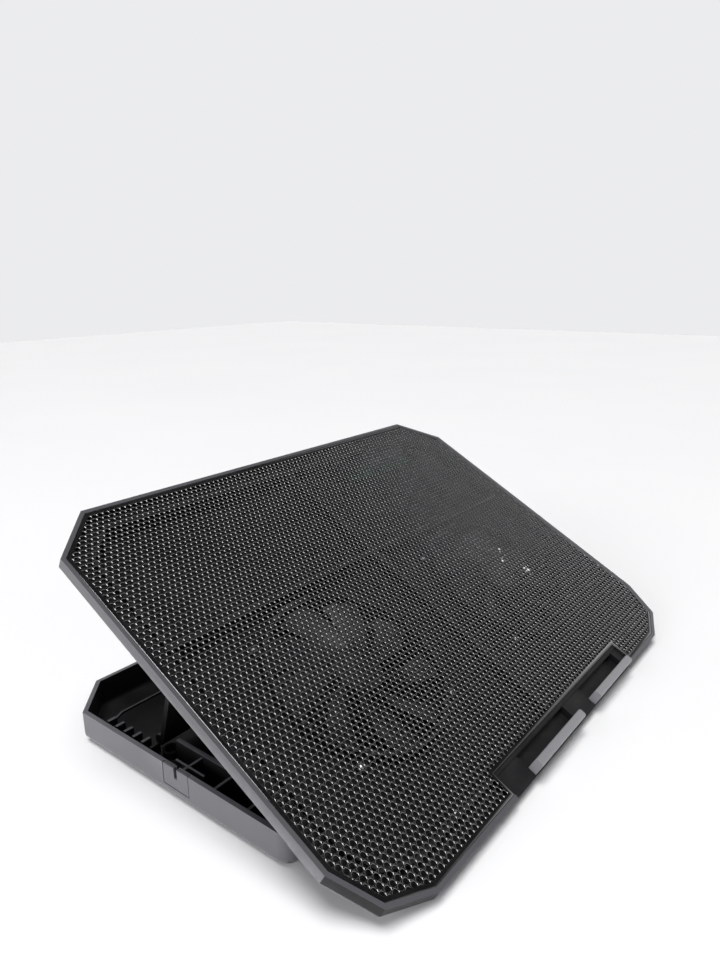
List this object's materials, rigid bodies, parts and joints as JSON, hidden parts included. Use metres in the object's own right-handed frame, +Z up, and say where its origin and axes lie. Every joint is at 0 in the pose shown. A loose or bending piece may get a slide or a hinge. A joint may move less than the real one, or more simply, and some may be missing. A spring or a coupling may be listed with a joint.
{
  "type": "laptop cooling pad",
  "caption": "Tilting mesh-topped laptop cooling pad with fans inside, a toothed tray base, a fold-out support flap and flip-up laptop stops.",
  "frame": {"origin": "on the table, under the middle of the whole object's bounding box, in its raised working position", "axes": "+X to the user's right, +Y away from the user towards the raised end, +Z up"},
  "size_m": [0.356, 0.2472, 0.1323],
  "materials": {
    "charcoal_plastic": "satin moulded charcoal plastic",
    "black_plastic": "fine-grained black plastic",
    "stop_plastic": "satin grey plastic",
    "fan_plastic": "smooth black plastic",
    "black_mesh": "gloss black enamel on punched metal",
    "steel": "zinc plated",
    "bearing_brass": "sintered",
    "circuit_board": "solder mask",
    "socket_metal": "nickel plated",
    "rubber": "matt"
  },
  "bodies": {
    "base": {"base_tray": "charcoal_plastic", "hinge_pin_left": "steel", "cable_guide_left": "charcoal_plastic", "base_foot_front_left": "rubber", "base_foot_rear_left": "rubber", "hinge_pin_right": "steel", "cable_guide_right": "charcoal_plastic", "base_foot_front_right": "rubber", "base_foot_rear_right": "rubber"},
    "panel": {"pad_frame": "charcoal_plastic", "mesh_panel": "black_mesh", "back_cover": "black_plastic", "cover_screws": "steel", "fan_screws": "steel", "hub_board": "circuit_board", "usb_socket_left": "socket_metal", "usb_socket_right": "socket_metal", "power_inlet": "socket_metal", "stop_pin_left": "steel", "fan_frame_left": "fan_plastic", "fan_bearing_left": "bearing_brass", "fan_grille_left": "black_plastic", "pad_foot_left": "rubber", "flap_pin_left": "steel", "stop_pin_right": "steel", "fan_frame_right": "fan_plastic", "fan_bearing_right": "bearing_brass", "fan_grille_right": "black_plastic", "pad_foot_right": "rubber", "flap_pin_right": "steel"},
    "flap": {"support_flap": "black_plastic"},
    "stop_left": {"laptop_stop_left": "stop_plastic"},
    "stop_right": {"laptop_stop_right": "stop_plastic"},
    "fan_left": {"fan_rotor_left": "fan_plastic"},
    "fan_right": {"fan_rotor_right": "fan_plastic"},
    "wheel": {"speed_wheel": "black_plastic"}
  },
  "joints": [
    {"name": "panel_tilt", "type": "hinge", "parent": "base", "child": "panel", "pos_m": [0, -0.0538, 0.0124], "axis": [1, 0, 0], "range_deg": [-28.5, 0]},
    {"name": "flap_fold", "type": "hinge", "parent": "panel", "child": "flap", "pos_m": [0, 0.03904, 0.06503], "axis": [1, 0, 0], "range_deg": [0, 107.6]},
    {"name": "stop_left_fold", "type": "hinge", "parent": "panel", "child": "stop_left", "pos_m": [0, -0.11764, 0.00613], "axis": [1, 0, 0], "range_deg": [-90, 0]},
    {"name": "stop_right_fold", "type": "hinge", "parent": "panel", "child": "stop_right", "pos_m": [0, -0.11764, 0.00613], "axis": [1, 0, 0], "range_deg": [-90, 0]},
    {"name": "fan_left_spin", "type": "hinge", "parent": "panel", "child": "fan_left", "pos_m": [-0.08, -0.02791, 0.04688], "axis": [0, -0.4772, 0.8788], "continuous": true},
    {"name": "fan_right_spin", "type": "hinge", "parent": "panel", "child": "fan_right", "pos_m": [0.08, -0.02791, 0.04688], "axis": [0, -0.4772, 0.8788], "continuous": true},
    {"name": "speed_wheel_turn", "type": "hinge", "parent": "panel", "child": "wheel", "pos_m": [0.066, 0.09548, 0.11615], "axis": [0, -0.4772, 0.8788], "range_deg": [0, 270]}
  ],
  "couplings": [
    {"joint": "flap_fold", "follows": "panel_tilt", "ratio": -3.7719}
  ]
}
